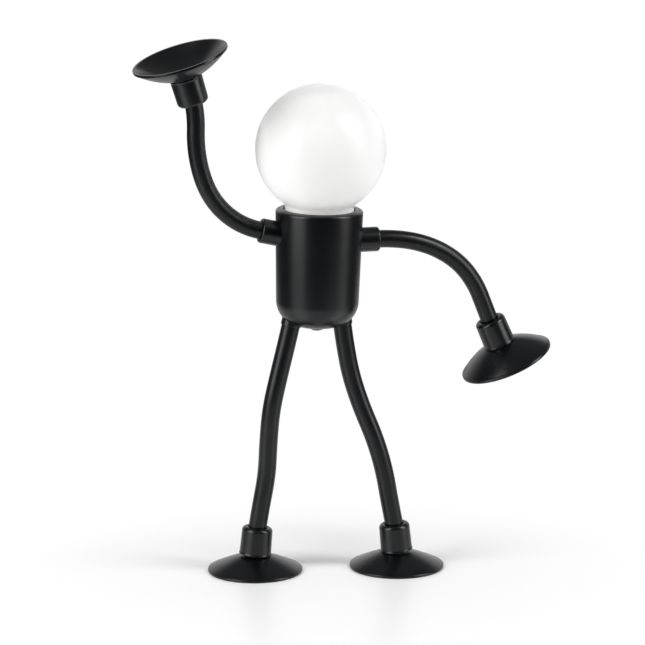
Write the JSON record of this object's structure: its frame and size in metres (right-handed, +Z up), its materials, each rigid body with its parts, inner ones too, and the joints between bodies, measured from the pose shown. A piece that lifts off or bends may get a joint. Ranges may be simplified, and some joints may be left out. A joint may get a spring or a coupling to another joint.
{
  "type": "suction cup desk lamp",
  "caption": "Desk lamp shaped like a small figure: opal globe on a black cup-shaped body with bendable arms and legs that end in suction cups.",
  "frame": {"origin": "on the ground under the middle of the outer box", "axes": "+Z up; -Y towards the front; +Y towards the charging inlet at the back; the raised arm is at -X, the lowered arm at +X"},
  "size_m": [0.2658, 0.08, 0.3353],
  "materials": {
    "black_shell": "satin",
    "black_button": "gloss",
    "opal": "opal gloss",
    "cup_rubber": "satin",
    "sleeve_silicone": "satin",
    "core_alloy": "dull",
    "carrier_alloy": "satin",
    "white_board": "satin",
    "green_board": "satin",
    "led_chip": "gloss",
    "screw_steel": "bright",
    "socket_steel": "satin",
    "cell": "shrink wrap",
    "switch_plastic": "matte"
  },
  "bodies": {
    "body": {"body_shell": "black_shell", "globe_ring": "black_shell", "led_carrier": "carrier_alloy", "led_board": "white_board", "leds": "led_chip", "screws": "screw_steel", "main_board": "green_board", "usb_socket": "socket_steel", "battery": "cell", "power_switch": "switch_plastic"},
    "globe": {"globe": "opal"},
    "button": {"switch_button": "black_button"},
    "left_arm_root": {"left_arm_collar": "black_shell", "left_arm_stem": "core_alloy", "left_arm_shoulder_sleeve": "sleeve_silicone"},
    "left_arm_upper": {"left_arm_upper_sleeve": "sleeve_silicone", "left_arm_upper_core": "core_alloy", "left_arm_elbow_sleeve": "sleeve_silicone"},
    "left_arm_fore": {"left_arm_fore_sleeve": "sleeve_silicone", "left_arm_fore_core": "core_alloy", "left_arm_wrist_sleeve": "sleeve_silicone"},
    "left_arm_hand": {"left_arm_end_core": "core_alloy", "left_arm_hub": "black_shell", "left_arm_cup": "cup_rubber"},
    "right_arm_root": {"right_arm_collar": "black_shell", "right_arm_stem": "core_alloy", "right_arm_shoulder_sleeve": "sleeve_silicone"},
    "right_arm_upper": {"right_arm_upper_sleeve": "sleeve_silicone", "right_arm_upper_core": "core_alloy", "right_arm_elbow_sleeve": "sleeve_silicone"},
    "right_arm_fore": {"right_arm_fore_sleeve": "sleeve_silicone", "right_arm_fore_core": "core_alloy", "right_arm_wrist_sleeve": "sleeve_silicone"},
    "right_arm_hand": {"right_arm_end_core": "core_alloy", "right_arm_hub": "black_shell", "right_arm_cup": "cup_rubber"},
    "left_leg_root": {"left_leg_collar": "black_shell", "left_leg_stem": "core_alloy", "left_leg_hip_sleeve": "sleeve_silicone"},
    "left_leg_thigh": {"left_leg_thigh_sleeve": "sleeve_silicone", "left_leg_thigh_core": "core_alloy", "left_leg_knee_sleeve": "sleeve_silicone"},
    "left_leg_shin": {"left_leg_shin_sleeve": "sleeve_silicone", "left_leg_shin_core": "core_alloy", "left_leg_ankle_sleeve": "sleeve_silicone"},
    "left_leg_foot": {"left_leg_end_core": "core_alloy", "left_leg_hub": "black_shell", "left_leg_cup": "cup_rubber"},
    "right_leg_root": {"right_leg_collar": "black_shell", "right_leg_stem": "core_alloy", "right_leg_hip_sleeve": "sleeve_silicone"},
    "right_leg_thigh": {"right_leg_thigh_sleeve": "sleeve_silicone", "right_leg_thigh_core": "core_alloy", "right_leg_knee_sleeve": "sleeve_silicone"},
    "right_leg_shin": {"right_leg_shin_sleeve": "sleeve_silicone", "right_leg_shin_core": "core_alloy", "right_leg_ankle_sleeve": "sleeve_silicone"},
    "right_leg_foot": {"right_leg_end_core": "core_alloy", "right_leg_hub": "black_shell", "right_leg_cup": "cup_rubber"}
  },
  "joints": [
    {"name": "globe_twist", "type": "hinge", "parent": "body", "child": "globe", "pos_m": [-0.01631, 0, 0.22828], "axis": [0.0227, 0, 0.9997], "range_deg": [0, 30]},
    {"name": "button_press", "type": "slide", "parent": "body", "child": "button", "axis": [0.0227, 0, 0.9997], "range_m": [0, 0.0012], "stiffness_N_per_m": 700, "springref_m": -0.001},
    {"name": "left_arm_swivel", "type": "hinge", "parent": "body", "child": "left_arm_root", "pos_m": [-0.03942, 0, 0.21393], "axis": [-0.9724, 0, 0.2334], "range_deg": [-90, 90]},
    {"name": "left_arm_shoulder", "type": "hinge", "parent": "left_arm_root", "child": "left_arm_upper", "pos_m": [-0.06654, -0.00016, 0.22247], "axis": [0.0191, 0.9966, 0.0797], "range_deg": [-60, 25], "deforming": ["left_arm_shoulder_sleeve"]},
    {"name": "left_arm_elbow", "type": "hinge", "parent": "left_arm_upper", "child": "left_arm_fore", "pos_m": [-0.08896, -0.00187, 0.24922], "axis": [0.0191, 0.9966, 0.0797], "range_deg": [-60, 30], "deforming": ["left_arm_elbow_sleeve"]},
    {"name": "left_arm_wrist", "type": "hinge", "parent": "left_arm_fore", "child": "left_arm_hand", "pos_m": [-0.09446, -0.00463, 0.2851], "axis": [0.0191, 0.9966, 0.0797], "range_deg": [-50, 40], "deforming": ["left_arm_wrist_sleeve"]},
    {"name": "right_arm_swivel", "type": "hinge", "parent": "body", "child": "right_arm_root", "pos_m": [0.00654, 0, 0.20836], "axis": [1, 0, -0.0052], "range_deg": [-90, 90]},
    {"name": "right_arm_shoulder", "type": "hinge", "parent": "right_arm_root", "child": "right_arm_upper", "pos_m": [0.03505, 0.00002, 0.20729], "axis": [0.0001, 0.9998, 0.0209], "range_deg": [-60, 25], "deforming": ["right_arm_shoulder_sleeve"]},
    {"name": "right_arm_elbow", "type": "hinge", "parent": "right_arm_upper", "child": "right_arm_fore", "pos_m": [0.06799, 0.00028, 0.19466], "axis": [0.0001, 0.9998, 0.0209], "range_deg": [-60, 35], "deforming": ["right_arm_elbow_sleeve"]},
    {"name": "right_arm_wrist", "type": "hinge", "parent": "right_arm_fore", "child": "right_arm_hand", "pos_m": [0.08915, 0.00089, 0.16544], "axis": [0.0001, 0.9998, 0.0209], "range_deg": [-50, 50], "deforming": ["right_arm_wrist_sleeve"]},
    {"name": "left_leg_swivel", "type": "hinge", "parent": "body", "child": "left_leg_root", "pos_m": [-0.03333, 0, 0.16195], "axis": [-0.23, 0, -0.9732], "range_deg": [-120, 120]},
    {"name": "left_leg_hip", "type": "hinge", "parent": "left_leg_root", "child": "left_leg_thigh", "pos_m": [-0.03887, -0.0001, 0.1391], "axis": [-0.8023, -0.5591, 0.2092], "range_deg": [-60, 90], "deforming": ["left_leg_hip_sleeve"]},
    {"name": "left_leg_knee", "type": "hinge", "parent": "left_leg_thigh", "child": "left_leg_shin", "pos_m": [-0.04788, 0.00106, 0.09354], "axis": [0.8373, 0.5464, 0.021], "range_deg": [-75, 75], "deforming": ["left_leg_knee_sleeve"]},
    {"name": "left_leg_ankle", "type": "hinge", "parent": "left_leg_shin", "child": "left_leg_foot", "pos_m": [-0.05142, 0.00609, 0.04618], "axis": [-0.8205, -0.5579, 0.1246], "range_deg": [-50, 50], "deforming": ["left_leg_ankle_sleeve"]},
    {"name": "right_leg_swivel", "type": "hinge", "parent": "body", "child": "right_leg_root", "pos_m": [-0.00233, 0, 0.16125], "axis": [-0.1288, 0, 0.9917], "range_deg": [-120, 120]},
    {"name": "right_leg_hip", "type": "hinge", "parent": "right_leg_root", "child": "right_leg_thigh", "pos_m": [0.00104, -0.00016, 0.13798], "axis": [-0.8925, 0.4222, -0.1588], "range_deg": [-60, 90], "deforming": ["right_leg_hip_sleeve"]},
    {"name": "right_leg_knee", "type": "hinge", "parent": "right_leg_thigh", "child": "right_leg_shin", "pos_m": [0.01395, -0.00346, 0.09347], "axis": [0.8284, -0.4062, 0.3855], "range_deg": [-75, 75], "deforming": ["right_leg_knee_sleeve"]},
    {"name": "right_leg_ankle", "type": "hinge", "parent": "right_leg_shin", "child": "right_leg_foot", "pos_m": [0.02646, -0.00648, 0.04749], "axis": [-0.8912, 0.4221, -0.1659], "range_deg": [-50, 50], "deforming": ["right_leg_ankle_sleeve"]}
  ]
}
